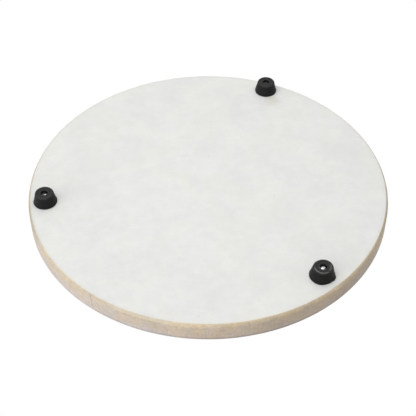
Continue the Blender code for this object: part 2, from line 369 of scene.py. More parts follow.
class StudioSettings(bpy.types.PropertyGroup):
    """Camera and light. A level of 1 shows a colour as it is written, on a surface square to that light."""

    lens: FloatProperty(name="Lens", description="Focal length in millimetres", default=87.87)
    reach: length_setting("Reach", "From the board's axis to the camera, along the floor", 0.62667)
    drop: length_setting("Drop", "From the board's underside down to the camera", 0.59765)
    aim: length_setting("Aim", "From the board's axis to the point looked at", 0.02792)
    aside: length_setting("Aside", "How far to the side that point lies", 0.00023)
    roll: angle_setting("Roll", "Turn of the picture", -0.0857)
    ambient: level_setting("Ambient", "Level of the light from all round", 0.445)
    front_key: level_setting("Front key", "Level of the lamp below the camera's left", 0.20)
    side_key: level_setting("Side key", "Level of the lamp beside the rim", 0.40)
    under_key: level_setting("Under key", "Level of the lamp under the board", 0.425)
    upper_key: level_setting("Upper key", "Level of the lamp behind and above the board", 0.62)
    floor: level_setting("Floor white", "Share of the floor's white that takes shadows", 0.5)
    show_floor: BoolProperty(name="Show floor", description="Stand the board on a floor", default=True)


class BoardSettings(bpy.types.PropertyGroup):
    """All settings of the serving board."""

    stone: PointerProperty(type=StoneSettings)
    fixings: PointerProperty(type=FixingSettings)
    studio: PointerProperty(type=StudioSettings)


def put(tree, kind, inputs=None, **settings):
    """Adds a node. An input takes a plain value, or the output that feeds it."""
    node = tree.nodes.new(kind)
    for name, value in settings.items():
        setattr(node, name, value)
    for socket, value in (inputs or {}).items():
        if isinstance(value, bpy.types.NodeSocket):
            tree.links.new(value, node.inputs[socket])
        else:
            node.inputs[socket].default_value = value
    return node


def grow(kind, inputs, **settings):
    """Adds a node to the tree that one of its inputs is fed from."""
    feeds = [value for value in inputs.values() if isinstance(value, bpy.types.NodeSocket)]
    return put(feeds[0].id_data, kind, inputs, **settings)


def calc(operation, *values, clamp=False):
    """The result of a Math node."""
    node = grow("ShaderNodeMath", dict(enumerate(values)), operation=operation, use_clamp=clamp)
    return node.outputs[0]


def times(first, second):
    """The product of two values."""
    return calc("MULTIPLY", first, second)


def spread(value, low, high, to_low=0.0, to_high=1.0):
    """A value eased from one range to another."""
    inputs = {"Value": value, "From Min": low, "From Max": high, "To Min": to_low, "To Max": to_high}
    return grow("ShaderNodeMapRange", inputs, interpolation_type="SMOOTHSTEP").outputs[0]


def fade(value, low, high, full=1.0):
    """A share that is full up to one value and gone from another on."""
    return spread(value, low, high, full, 0.0)


def vector_math(operation, *values):
    """The node that works something out of vectors."""
    return grow("ShaderNodeVectorMath", dict(enumerate(values)), operation=operation)


def flattened(vector):
    """A vector without its height."""
    return vector_math("MULTIPLY", vector, (1.0, 1.0, 0.0)).outputs["Vector"]


def length_of(vector):
    """A vector's length."""
    return vector_math("LENGTH", vector).outputs["Value"]


def reach_along(vector, way):
    """How far a vector reaches along a direction."""
    return vector_math("DOT_PRODUCT", vector, way).outputs["Value"]


def height_of(vector):
    """A vector's height."""
    return grow("ShaderNodeSeparateXYZ", {0: vector}).outputs["Z"]


def facing(place, turn, whole):
    """How far a point lies towards one direction round the board, as a share of a whole."""
    way = (math.cos(math.radians(turn)), math.sin(math.radians(turn)), 0.0)
    return calc("DIVIDE", reach_along(place, way), whole)


def patch_distance(place, centre, half_width, half_length):
    """How far a point lies from the middle of an oval patch, whose edge is at 1."""
    away = vector_math("SUBTRACT", place, centre).outputs["Vector"]
    scaled = vector_math("MULTIPLY", away, (1 / half_width, 1 / half_length, 0.0)).outputs["Vector"]
    return length_of(scaled)


def stretched(place, scale, turn=0.0):
    """Coordinates turned about the upright axis and scaled."""
    inputs = {"Vector": place, "Rotation": (0.0, 0.0, math.radians(turn)), "Scale": scale}
    return grow("ShaderNodeMapping", inputs).outputs[0]


def lumpy(place, scale, detail=4.0, rough=0.55, warp=0.0):
    """A noise with about so many lumps in a metre."""
    inputs = {"Vector": place, "Scale": scale, "Detail": detail, "Roughness": rough, "Distortion": warp}
    return grow("ShaderNodeTexNoise", inputs).outputs[0]


def cloudy(place, size, **kind):
    """A noise whose lumps measure about the given size."""
    return lumpy(place, 1.0 / size, **kind)


def blotches(place, size, to=(0.0, 1.0), span=NOISE_SPAN, **kind):
    """Lumps of about the given size, their noise eased from its own span to another."""
    return spread(cloudy(place, size, **kind), *span, *to)


def opaque(colour, share=1.0):
    """A colour, or a share of it, with the fourth number that a node's socket wants."""
    return (*(min(1.0, share * part) for part in colour), 1.0)


def mix(factor, first, second, blend="MIX"):
    """A colour mixed from two others."""
    inputs = {MIX_FACTOR: factor, MIX_A: first, MIX_B: second}
    return grow("ShaderNodeMix", inputs, data_type="RGBA", blend_type=blend).outputs[MIX_RESULT]


def shaded(colour, by):
    """A colour multiplied by another colour or by a value."""
    return mix(1.0, colour, by, "MULTIPLY")


def covered(colour, mask, share, over):
    """A colour with a share of another laid over it where a mask says."""
    return mix(times(mask, share), colour, over)


def new_group(name, values, results, vectors=()):
    """An empty shader group that takes a position, other vectors and values, and puts out results."""
    tree = bpy.data.node_groups.new(name, "ShaderNodeTree")
    for label in ("Position", *vectors):
        tree.interface.new_socket(name=label, in_out="INPUT", socket_type="NodeSocketVector")
    for label in values:
        tree.interface.new_socket(name=label, in_out="INPUT", socket_type="NodeSocketFloat")
    for label in results:
        tree.interface.new_socket(name=label, in_out="OUTPUT", socket_type="NodeSocketFloat")
    return tree.nodes.new("NodeGroupInput").outputs, tree.nodes.new("NodeGroupOutput").inputs


def hand_out(sink, **results):
    """Links a group's results to its outputs."""
    for label, value in results.items():
        value.id_data.links.new(value, sink[label])


def use_group(name, **values):
    """What a shared effect puts out; an underscore in a value's name stands for a space in its socket's."""
    inputs = {label.replace("_", " "): value for label, value in values.items()}
    return grow("ShaderNodeGroup", inputs, node_tree=bpy.data.node_groups[name]).outputs


def stone_clouds_group():
    """Clouds, mottle, pale bands and dark specks of the stone."""
    values = ("Cloud Scale", "Mottle Scale")
    source, sink = new_group("stone_clouds", values, ("Cloud", "Mottle", "Band", "Speck"))
    place = source["Position"]
    cloud = lumpy(place, source["Cloud Scale"], detail=5.0, rough=0.6, warp=0.5)
    mottle = lumpy(place, source["Mottle Scale"], detail=6.0, rough=0.65)
    long_way = stretched(place, (1.0, BAND_THINNESS, 1.0), BAND_TURN)
    band = blotches(long_way, BAND_WIDTH, span=(0.57, 0.68), detail=5.0, rough=0.6, warp=0.6)
    where = blotches(place, BAND_AREA, span=(0.48, 0.62), detail=2.0)
    cells = grow("ShaderNodeTexVoronoi", {"Vector": place, "Scale": 1.0 / SPECK_SPACING}).outputs
    speck = fade(cells["Distance"], 0.045, 0.08)
    drawn = grow("ShaderNodeSeparateColor", {0: cells["Color"]}).outputs[0]
    few = calc("GREATER_THAN", drawn, SPECK_FREE_SHARE)
    hand_out(
        sink,
        Cloud=spread(cloud, 0.34, 0.66),
        Mottle=spread(mottle, 0.34, 0.66),
        Band=times(band, where),
        Speck=times(speck, few),
    )


def crystal_grain_group():
    """The stone's crystals: a shade for each, and the height of its little face."""
    source, sink = new_group("crystal_grain", ("Scale",), ("Facet", "Height"))
    inputs = {"Vector": source["Position"], "Scale": source["Scale"]}
    cells = grow("ShaderNodeTexVoronoi", inputs).outputs
    shade = grow("ShaderNodeSeparateColor", {0: cells["Color"]}).outputs[0]
    hand_out(sink, Facet=shade, Height=cells["Distance"])


def soft_veins_group():
    """Winding veins that fade in and out."""
    source, sink = new_group("soft_veins", ("Scale", "Width"), ("Mask",))
    place = source["Position"]
    bend = grow("ShaderNodeTexNoise", {"Vector": place, "Scale": 1.0 / VEIN_BEND, "Detail": 4.0})
    push = vector_math("SUBTRACT", bend.outputs["Color"], (0.5, 0.5, 0.5)).outputs["Vector"]
    shift = vector_math("MULTIPLY", push, VEIN_REACH).outputs["Vector"]
    bent = vector_math("ADD", place, shift).outputs["Vector"]
    slanted = stretched(bent, (1.0, VEIN_THINNESS, 1.0), VEIN_TURN)
    ridge = lumpy(slanted, source["Scale"], detail=3.0, rough=0.5)
    away = calc("ABSOLUTE", calc("SUBTRACT", ridge, 0.5))
    line = fade(away, 0.0, source["Width"])
    present = blotches(place, VEIN_AREA, span=(0.42, 0.62), detail=3.0)
    hand_out(sink, Mask=times(line, present))


def fine_scratches_group():
    """Hair-fine scratches that lie in three directions."""
    source, sink = new_group("fine_scratches", ("Scale",), ("Mask",))
    total = None
    for turn, thinness in SCRATCH_LAYS:
        lay = stretched(source["Position"], (1.0, thinness, 1.0), turn)
        hair = spread(lumpy(lay, source["Scale"], detail=2.0, rough=0.5), 0.64, 0.72)
        total = hair if total is None else calc("MAXIMUM", total, hair)
    hand_out(sink, Mask=total)


def settled_dust_group():
    """Thin dust and lint that gathers in patches."""
    source, sink = new_group("settled_dust", ("Amount",), ("Mask",))
    place = source["Position"]
    patch = blotches(place, 4 * MM, span=(0.42, 0.68), detail=5.0, rough=0.65)
    grit = blotches(place, 0.35 * MM, span=(0.55, 0.75), detail=2.0)
    dust = times(patch, calc("MULTIPLY_ADD", grit, 0.6, 0.4))
    hand_out(sink, Mask=calc("MULTIPLY", dust, source["Amount"], clamp=True))


def edge_wear_group():
    """Rubbed edges that stand out, from the worn_edge attribute that the new meshes carry."""
    source, sink = new_group("edge_wear", ("Scale",), ("Mask",))
    tree = source["Position"].id_data
    worn = put(tree, "ShaderNodeAttribute", attribute_name="worn_edge").outputs["Fac"]
    broken = spread(lumpy(source["Position"], source["Scale"], rough=0.5), 0.36, 0.62)
    hand_out(sink, Mask=calc("MULTIPLY", worn, broken, clamp=True))


def rim_place_group():
    """How far in from the rim a point lies, wobbled a little, and how far up from the underside."""
    source, sink = new_group("rim_place", ("Wobble",), ("Inset", "Rise"))
    place = source["Position"]
    uneven = calc("SUBTRACT", cloudy(place, 5 * MM), 0.5)
    inset = calc("SUBTRACT", SLAB_RADIUS, length_of(flattened(place)))
    inset = calc("MULTIPLY_ADD", uneven, source["Wobble"], inset)
    hand_out(sink, Inset=inset, Rise=calc("SUBTRACT", height_of(place), SLAB_LOW.z))


def rim_mark_group():
    """A soft patch on the rim, centred on one direction and level. It may slant up the wall and lean over."""
    values = ("Rise", "Half Width", "Half Height", "Slant", "Lean")
    source, sink = new_group("rim_mark", values, ("Mask",), vectors=("Outward", "Along"))
    place = source["Position"]
    outward = reach_along(place, source["Outward"])
    along = reach_along(place, source["Along"])
    level = calc("SUBTRACT", height_of(place), SLAB_LOW.z)
    above = calc("SUBTRACT", level, source["Rise"])
    sideways = calc("MULTIPLY_ADD", above, source["Slant"], along)
    past_rim = calc("SUBTRACT", outward, SLAB_RADIUS)
    sideways = calc("MULTIPLY_ADD", past_rim, source["Lean"], sideways)
    across = calc("DIVIDE", calc("ABSOLUTE", sideways), source["Half Width"])
    upwards = calc("DIVIDE", calc("ABSOLUTE", above), source["Half Height"])
    patch = times(fade(across, 0.5, 1.0), fade(upwards, 0.6, 1.0))
    this_side = calc("GREATER_THAN", outward, 0.0)
    hand_out(sink, Mask=times(patch, this_side))


def build_groups():
    """Builds the effects that the materials share."""
    stone_clouds_group()
    crystal_grain_group()
    soft_veins_group()
    fine_scratches_group()
    settled_dust_group()
    edge_wear_group()
    rim_place_group()
    rim_mark_group()


def new_material(name, colour, roughness, metallic=0.0):
    """A material, its Principled shader and its Object coordinates."""
    made = bpy.data.materials.new(name)
    made.use_nodes = True
    made.diffuse_color = opaque(colour)
    tree = made.node_tree
    shader = tree.nodes["Principled BSDF"]
    shader.inputs["Base Color"].default_value = opaque(colour)
    shader.inputs["Roughness"].default_value = roughness
    shader.inputs["Metallic"].default_value = metallic
    place = put(tree, "ShaderNodeTexCoord").outputs["Object"]
    return made, shader, place


def feed(shader, colour, roughness, height, depth):
    """Links what changes over the surface to the shader."""
    bump = grow("ShaderNodeBump", {"Height": height, "Distance": depth, "Strength": 1.0})
    links = shader.id_data.links
    links.new(colour, shader.inputs["Base Color"])
    links.new(roughness, shader.inputs["Roughness"])
    links.new(bump.outputs["Normal"], shader.inputs["Normal"])


def stone_colour(place, stone, cloud_size, mottle_size, cloudiness, speckle):
    """White stone with cool clouds, mottle, pale bands and specks."""
    scales = {"Cloud_Scale": 1.0 / cloud_size, "Mottle_Scale": 1.0 / mottle_size}
    clouds = use_group("stone_clouds", Position=place, **scales)
    colour = covered(opaque(stone.white), clouds["Cloud"], cloudiness, opaque(stone.cool))
    colour = shaded(colour, spread(clouds["Mottle"], 0.0, 1.0, 0.985, 1.008))
    broad = blotches(place, BROAD_CLOUD, to=(0.979, 1.018), span=(0.34, 0.66), detail=3.0)
    colour = shaded(colour, broad)
    colour = covered(colour, clouds["Band"], 0.6, opaque(stone.white, 1.05))
    return covered(colour, clouds["Speck"], speckle, opaque(stone.white, 0.72))


def layered_wax(place, stone, rim, key_side_share):
    """Wax that turns from honey by the underside over beige to ashen by the serving face, greyer on the pale
    side as painted shade.
    """
    lift = calc("SUBTRACT", cloudy(place, LAYER_LUMP, warp=0.4), 0.5)
    level = calc("MULTIPLY_ADD", lift, LAYER_WANDER, rim["Rise"])
    # On the pale side, which faces the key lamps, the wax turns greyer and in places darker: painted shade
    honey = mix(key_side_share, opaque(stone.honey), opaque(stone.key_side_honey))
    beige = mix(key_side_share, opaque(stone.beige), opaque(stone.key_side_beige))
    ashen = mix(key_side_share, opaque(stone.ashen), opaque(stone.key_side_ashen))
    colour = mix(fade(level, *HONEY_ENDS), beige, honey)
    return mix(spread(level, *ASHEN_BEGINS), colour, ashen)


def wax_colour(place, stone, rim):
    """Layered wax with painted shade along the serving edge, bands and tool marks on the rim, and painted
    shade on the sides and back.
    """
    # The pale side faces the key lamps; its greyer wax is painted shade
    towards_key_side = facing(place, KEY_SIDE_TURN, SLAB_RADIUS)
    colour = layered_wax(place, stone, rim, spread(towards_key_side, 0.68, 0.88))
    # Painted shade: the serving edge is darkened like a contact shadow, least on the pale side
    serving_edge_shade = spread(towards_key_side, 0.35, 0.9, 0.66, 0.80)
    colour = shaded(colour, spread(rim["Rise"], *SERVING_EDGE_SHADE_BEGINS, 1.0, serving_edge_shade))
    along = stretched(place, (1.0, 1.0, WAX_BAND_FLATNESS))
    colour = shaded(colour, blotches(along, WAX_BAND, to=(0.93, 1.055), detail=5.0, rough=0.66))
    across = stretched(place, (1.0, 1.0, TOOL_MARK_FLATNESS))
    colour = shaded(colour, blotches(across, TOOL_MARK, to=(0.96, 1.03), detail=3.0, rough=0.6))
    # Painted shade: the sides and back of the rim are darker and cooler, less so higher up
    rear = fade(facing(place, FRONT_TURN, SLAB_RADIUS), 0.25, 0.55)
    rear = times(rear, spread(rim["Rise"], *REAR_SHADE_EASES, 1.0, 0.25))
    colour = mix(rear, colour, shaded(colour, REAR_PAINTED_SHADE))
    colour = shaded(colour, blotches(place, WAX_CLOUD, to=(0.95, 1.04), detail=1.0))
    blush = blotches(place, BLUSH, span=(0.36, 0.64), detail=2.0, rough=0.45, warp=0.3)
    return shaded(colour, mix(blush, WARM_BLUSH, COOL_BLUSH))


def warm_patch_mask(place):
    """The mask of a small warm, darker patch beside foot 1."""
    distance = patch_distance(place, WARM_PATCH_CENTRE, WARM_PATCH_HALF_WIDTH, WARM_PATCH_HALF_LENGTH)
    ragged = calc("MULTIPLY_ADD", cloudy(place, 4 * MM, detail=3.0), 0.8, distance)
    return fade(ragged, 0.7, 1.5, 0.85)


def honed_underside(stone):
    """The honed face with the feet, waxed for a hair's breadth along its rim."""
    made, shader, place = new_material("honed_underside", stone.white, 0.5)
    grain = use_group("crystal_grain", Position=place, Scale=1.0 / UNDERSIDE_CRYSTAL)
    rim = use_group("rim_place", Position=place, Wobble=WAX_WOBBLE)
    scratches = use_group("fine_scratches", Position=place, Scale=1.0 / UNDERSIDE_SCRATCH)["Mask"]
    colour = stone_colour(place, stone, UNDERSIDE_CLOUD, UNDERSIDE_MOTTLE, 0.8, 0.5)
    colour = shaded(colour, spread(grain["Facet"], 0.0, 1.0, 0.990, 1.007))
    flat_end = edge_insets(stone)[0]
    waxed = fade(rim["Inset"], flat_end, flat_end + WAX_FADE, 0.85)
    soaked = fade(rim["Inset"], flat_end, flat_end + WAX_SOAK, 0.14)
    colour = mix(calc("MAXIMUM", waxed, soaked), colour, wax_colour(place, stone, rim))
    # Warmer and darker in a small patch beside foot 1
    colour = mix(warm_patch_mask(place), colour, shaded(colour, WARM_PATCH_TINT))
    rough = calc("MULTIPLY_ADD", grain["Facet"], 0.1, 0.44)
    rough = calc("MULTIPLY_ADD", scratches, 0.08, rough)
    height = calc("MULTIPLY_ADD", scratches, -0.35, grain["Height"])
    feed(shader, colour, rough, height, depth=0.012 * MM)
    shader.inputs["IOR"].default_value = STONE_IOR
    return made


def polished_serving_face(stone):
    """The satin-polished face that food is served on, with soft grey veins."""
    made, shader, place = new_material("polished_serving_face", stone.white, 0.26)
    grain = use_group("crystal_grain", Position=place, Scale=1.0 / SERVING_CRYSTAL)
    rim = use_group("rim_place", Position=place, Wobble=WAX_WOBBLE)
    scratches = use_group("fine_scratches", Position=place, Scale=1.0 / SERVING_SCRATCH)["Mask"]
    colour = stone_colour(place, stone, SERVING_CLOUD, SERVING_MOTTLE, 1.0, 0.35)
    for size, width, strength in VEIN_SETS:
        veins = use_group("soft_veins", Position=place, Scale=1.0 / size, Width=width)["Mask"]
        colour = covered(colour, veins, strength, opaque(stone.vein))
    colour = shaded(colour, spread(grain["Facet"], 0.0, 1.0, 0.985, 1.01))
    flat_end = edge_insets(stone)[1]
    waxed = fade(rim["Inset"], flat_end, flat_end + WAX_FADE, 0.85)
    colour = mix(waxed, colour, wax_colour(place, stone, rim))
    rough = calc("MULTIPLY_ADD", grain["Facet"], 0.05, 0.24)
    rough = calc("MULTIPLY_ADD", scratches, 0.16, rough)
    height = calc("MULTIPLY_ADD", scratches, -0.5, times(grain["Height"], 0.2))
    feed(shader, colour, rough, height, depth=0.01 * MM)
    shader.inputs["IOR"].default_value = STONE_IOR
    return made


def rim_mark(place, angle, rise, half_width, half_height, slant=0.0, lean=0.0):
    """The mask of one mark at an angle round the rim."""
    turn = math.radians(angle)
    mark = use_group(
        "rim_mark",
        Position=place,
        Outward=(math.cos(turn), math.sin(turn), 0.0),
        Along=(-math.sin(turn), math.cos(turn), 0.0),
        Rise=rise,
        Half_Width=half_width,
        Half_Height=half_height,
        Slant=math.tan(math.radians(slant)),
        Lean=lean,
    )
    return mark["Mask"]


def painted_highlight_streak(place):
    """The mask of the painted highlight, a pale streak along the underside's edge, between two directions
    round the rim.
    """
    start, end = HIGHLIGHT_ANGLES
    half_length = SLAB_RADIUS * math.radians(end - start) / 2
    reach = rim_mark(place, (start + end) / 2, HIGHLIGHT_RISE, half_length, HIGHLIGHT_HALF_HEIGHT)
    return times(reach, blotches(place, 6 * MM, to=(0.5, 1.0), span=(0.3, 0.5), detail=3.0))


def waxed_edge(stone):
    """The wall and both its edges, with the hairline seam, the painted highlight of a pale streak and the
    rim's marks.
    """
    made, shader, place = new_material("waxed_edge", stone.beige, 0.42)
    grain = use_group("crystal_grain", Position=place, Scale=1.0 / RIM_CRYSTAL)
    rim = use_group("rim_place", Position=place, Wobble=WAX_WOBBLE)
    worn = use_group("edge_wear", Position=place, Scale=1.0 / (3.5 * MM))["Mask"]
    seam_sizes = (SEAM_RISE, SEAM_HALF_WIDTH, SEAM_HALF_HEIGHT)
    seam = rim_mark(place, SEAM_ANGLE, *seam_sizes, SEAM_SLANT, SEAM_LEAN)
    colour = wax_colour(place, stone, rim)
    colour = shaded(colour, spread(grain["Facet"], 0.0, 1.0, 0.935, 1.05))
    pale = opaque([(white + honey) / 2 for white, honey in zip(stone.white, stone.honey)])
    colour = covered(colour, worn, 0.25, pale)
    colour = mix(fade(rim["Rise"], 0.0, RUBBED_RISE, 0.4), colour, pale)
    # Painted highlight: a pale streak along the underside's edge
    colour = covered(colour, painted_highlight_streak(place), 0.4, opaque(stone.streak_highlight))
    colour = covered(colour, seam, 0.4, opaque(stone.beige, 0.42))
    for mark in RIM_MARKS:
        colour = covered(colour, rim_mark(place, *mark), 0.4, opaque(stone.beige, 0.4))
    rough = calc("MULTIPLY_ADD", grain["Facet"], 0.12, 0.48)
    pits = blotches(place, 1.6 * MM, rough=0.6)
    height = calc("ADD", times(grain["Height"], 0.4), pits)
    height = calc("MULTIPLY_ADD", seam, -1.2, height)
    feed(shader, colour, rough, height, depth=0.05 * MM)
    shader.inputs["IOR"].default_value = STONE_IOR
    shader.inputs["Specular IOR Level"].default_value = 0.35
    return made


def ring_mask(radius, begins, ends, full=1.0):
    """The mask of a ring round a foot's axis."""
    return times(spread(radius, *begins), fade(radius, *ends, full))


def sole_highlight_mask(flat, radius, height):
    """The mask of the painted highlight on a foot's free end: on its rounded edge, its bore's mouth and its
    land.
    """
    front = facing(flat, SOLE_HIGHLIGHT_TURN, radius)
    side = facing(flat, LAND_HIGHLIGHT_TURN, radius)
    edge = times(spread(radius, *EDGE_HIGHLIGHT_BEGINS), fade(height, *EDGE_HIGHLIGHT_TOP, 0.85))
    edge = times(spread(front, 0.45, 0.7), edge)
    mouth = ring_mask(radius, MOUTH_HIGHLIGHT_BEGINS, MOUTH_HIGHLIGHT_ENDS)
    mouth = times(spread(front, 0.3, 0.8, 0.0, 0.6), mouth)
    land = ring_mask(radius, LAND_HIGHLIGHT_BEGINS, LAND_HIGHLIGHT_ENDS, 0.35)
    land = times(spread(side, 0.75, 0.9), land)
    every = calc("MAXIMUM", calc("MAXIMUM", edge, land), mouth)
    return times(every, blotches(flat, 1.3 * MM, to=(0.45, 1.0), span=(0.3, 0.55), detail=3.0))


def moulded_rubber(fixings, number):
    """Matt black rubber with a moulded skin, a dusty sole, rubbed edges and a little dust, painted shade in
    its bore and painted highlights on its free end.
    """
    made, shader, place = new_material(f"moulded_rubber_{number}", fixings.rubber, 0.56)
    from_axis = vector_math("SUBTRACT", place, axis_of(f"rubber_foot_{number}")).outputs["Vector"]
    flat = flattened(from_axis)
    radius = length_of(flat)
    height = height_of(place)
    lumps = cloudy(place, 1.4 * MM)
    worn = use_group("edge_wear", Position=place, Scale=1.0 / (1.2 * MM))["Mask"]
    dust = use_group("settled_dust", Position=place, Amount=0.25)["Mask"]
    outside = spread(radius, *PAINTED_BORE_SHADE_ENDS)
    dusty_sole = times(fade(height, *SOLE_DUST_TOP), spread(lumps, 0.3, 0.7, 0.6, 1.0))
    colour = mix(spread(lumps, *NOISE_SPAN), opaque(fixings.rubber), opaque(fixings.rubber, 1.3))
    # Painted shade: the rubber inside the bore is darkened to a quarter
    colour = mix(outside, opaque(fixings.rubber, 0.25), colour)
    colour = covered(colour, dusty_sole, outside, opaque(fixings.sole_dust))
    colour = covered(colour, worn, 0.5, WORN_RUBBER)
    # Painted highlight: lighter grey on the free end's edge, mouth and land, where the lamps catch them
    highlighted = sole_highlight_mask(flat, radius, height)
    colour = covered(colour, highlighted, fixings.sole_highlight_share[number - 1], RUBBER_HIGHLIGHT)
    colour = covered(colour, dust, 0.3, RUBBER_DUST)
    rough = calc("MULTIPLY_ADD", dust, 0.3, 0.52)
    skin = calc("MULTIPLY_ADD", lumps, 1.5, cloudy(place, 0.22 * MM, detail=2.0))
    feed(shader, colour, rough, skin, depth=0.02 * MM)
    shader.inputs["Specular IOR Level"].default_value = 0.1
    return made


def zinc_plate(fixings, number):
    """Bluish bright zinc on a screw, whose head is painted nearly black outside a patch on its glint, as a
    painted dark reflection.
    """
    made, shader, place = new_material(f"zinc_plate_{number}", fixings.zinc, 0.3, 0.85)
    across, along, half_width, half_length = GLINT_PATCHES[number - 1]
    centre = axis_of(f"foot_screw_{number}") + Vector((across, along, 0.0))
    distance = patch_distance(place, centre, half_width, half_length)
    ragged = calc("MULTIPLY_ADD", cloudy(place, 0.9 * MM), 0.5, distance)
    on_head = calc("LESS_THAN", height_of(place), HEAD_SEAT)
    # Painted dark reflection: the head is darkened outside its glint patch
    painted_dark = times(spread(ragged, 1.1, 1.35), times(on_head, fixings.painted_head_darkness))
    dull = opaque([part * share for part, share in zip(fixings.zinc, DARK_REFLECTION_SHARES)])
    scratches = use_group("fine_scratches", Position=place, Scale=1.0 / (1.5 * MM))["Mask"]
    rough = calc("MULTIPLY_ADD", scratches, 0.12, 0.24)
    rough = calc("MULTIPLY_ADD", painted_dark, 0.35, rough)
    height = calc("ADD", scratches, cloudy(place, 0.5 * MM))
    feed(shader, mix(painted_dark, opaque(fixings.zinc), dull), rough, height, depth=0.006 * MM)
    return made


def washer_steel(fixings):
    """Plain stamped steel with fine scratches and a film of dirt."""
    made, shader, place = new_material("washer_steel", fixings.steel, 0.36, 1.0)
    dust = use_group("settled_dust", Position=place, Amount=0.6)["Mask"]
    scratches = use_group("fine_scratches", Position=place, Scale=1.0 / (3 * MM))["Mask"]
    colour = mix(dust, opaque(fixings.steel), opaque(fixings.steel, 0.35))
    rough = calc("MULTIPLY_ADD", scratches, 0.18, 0.32)
    feed(shader, colour, rough, scratches, depth=0.01 * MM)
    return made


def grey_nylon(fixings):
    """Moulded nylon, slightly cloudy, with drilling dust from the stone."""
    made, shader, place = new_material("grey_nylon", fixings.nylon, 0.46)
    lumps = cloudy(place, 2.2 * MM, detail=3.0)
    dust = use_group("settled_dust", Position=place, Amount=0.8)["Mask"]
    colour = mix(spread(lumps, *NOISE_SPAN), opaque(fixings.nylon), opaque(fixings.nylon, 0.85))
    colour = covered(colour, dust, 0.6, STONE_DUST)
    feed(shader, colour, calc("MULTIPLY_ADD", dust, 0.3, 0.42), lumps, depth=0.02 * MM)
    return made


def mesh_of(name, shape):
    """Makes a mesh of a bmesh and frees the bmesh."""
    mesh = bpy.data.meshes.new(name)
    shape.to_mesh(mesh)
    shape.free()
    return mesh


def place_object(name, data):
    """Puts an object into the scene, at the origin."""
    made = bpy.data.objects.new(name, data)
    bpy.context.scene.collection.objects.link(made)
    return made


def mark_worn_edges(shape):
    """Stores how sharply each point's surroundings turn outwards, for the materials' edge wear."""
    layer = shape.verts.layers.float.new("worn_edge")
    for vert in shape.verts:
        turns = [edge.calc_face_angle_signed(0.0) for edge in vert.link_edges if len(edge.link_faces) == 2]
        vert[layer] = min(1.0, max(0.0, *turns) / math.radians(WORN_ANGLE)) if turns else 0.0


def finish_piece(name, shape, node, materials, smooth_angle=40.0):
    """Makes a piece of a bmesh, seats it in the frame and lets it stand for its node."""
    bmesh.ops.recalc_face_normals(shape, faces=shape.faces)
    mark_worn_edges(shape)
    mesh = mesh_of(name, shape)
    mesh.shade_smooth()
    mesh.set_sharp_from_angle(angle=math.radians(smooth_angle))
    for each in materials:
        mesh.materials.append(each)
    piece = place_object(name, mesh)
    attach(piece, BODY)
    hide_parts(node)
    return piece


def axis_of(node):
    """The upright axis of a round node: the middle of its box, on the floor."""
    low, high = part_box(node)
    return Vector(((low.x + high.x) / 2, (low.y + high.y) / 2, 0.0))


def radius_of(node):
    """The radius of a round node, from its box."""
    low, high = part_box(node)
    return (high.x - low.x) / 2


def eased(value, low, high):
    """A value's place between two others, from 0 to 1, with soft ends."""
    share = min(1.0, max(0.0, (value - low) / (high - low)))
    return share * share * (3 - 2 * share)


def arc(centre, radius, start, end, steps):
    """Points along an arc in the profile plane, angles counted from the outward direction."""
    angles = [math.radians(start + (end - start) * step / steps) for step in range(steps + 1)]
    return [(centre[0] + radius * math.cos(angle), centre[1] + radius * math.sin(angle)) for angle in angles]


def fillet(profile, reach, steps):
    """Rounds the inner corners of an open profile, at most over the given reach to each side."""
    rounded = [profile[0]]
    for before, corner, after in zip(profile, profile[1:], profile[2:]):
        middle = Vector(corner)
        back = Vector(before) - middle
        ahead = Vector(after) - middle
        if back.angle(ahead) > math.radians(STRAIGHT_ANGLE):
            rounded.append(corner)
            continue
        start = middle + back.normalized() * min(reach, FILLET_SHARE * back.length)
        end = middle + ahead.normalized() * min(reach, FILLET_SHARE * ahead.length)
        for step in range(steps + 1):
            share = step / steps
            rounded.append(tuple(start * (1 - share) ** 2 + middle * 2 * share * (1 - share) + end * share**2))
    rounded.append(profile[-1])
    return rounded


def spun(profile, segments, closed=False):
    """Spins a profile of (radius, height) points about the Z axis. A closed profile joins its two ends."""
    shape = bmesh.new()
    corners = [shape.verts.new((radius, 0.0, height)) for radius, height in profile]
    edges = [shape.edges.new(pair) for pair in zip(corners, corners[1:])]
    if closed:
        edges.append(shape.edges.new((corners[-1], corners[0])))
    bmesh.ops.spin(
        shape,
        geom=corners + edges,
        cent=(0.0, 0.0, 0.0),
        axis=(0.0, 0.0, 1.0),
        angle=math.tau,
        steps=segments,
        use_merge=True,
    )
    bmesh.ops.remove_doubles(shape, verts=shape.verts, dist=WELD_DISTANCE)
    return shape


def edge_insets(stone):
    """How far in from the rim the underside's flat and the serving face's flat end."""
    return stone.underside_edge * (1 - math.sin(stone.edge_start)), stone.serving_edge


def rim_profile(stone):
    """The rim as (radius, rise) points, from the underside's flat over the wall to the upper flat."""
    lower_flat, upper_flat = (SLAB_RADIUS - inset for inset in edge_insets(stone))
    rise = stone.underside_edge * math.cos(stone.edge_start)
    start = math.degrees(stone.edge_start) - 90
    lower = arc((SLAB_RADIUS - stone.underside_edge, rise), stone.underside_edge, start, 0.0, EDGE_STEPS)
    crisp = fillet([(lower_flat - FLAT_RING, 0.0), (lower_flat, 0.0), lower[1]], stone.crispness, 3)
    wall_top = SLAB_THICKNESS - stone.serving_edge
    wall = [(SLAB_RADIUS, rise + (wall_top - rise) * row / WALL_ROWS) for row in range(1, WALL_ROWS)]
    upper = arc((upper_flat, wall_top), stone.serving_edge, 0.0, 90.0, EDGE_STEPS)
    return crisp[:-1] + lower[1:] + wall + upper + [(upper_flat - FLAT_RING, SLAB_THICKNESS)]


def open_rim(shape, level):
    """The open edges of a shape at one level."""
    open_edges = [edge for edge in shape.edges if edge.is_boundary]
    return [edge for edge in open_edges if abs(edge.verts[0].co.z - level) < WELD_DISTANCE]


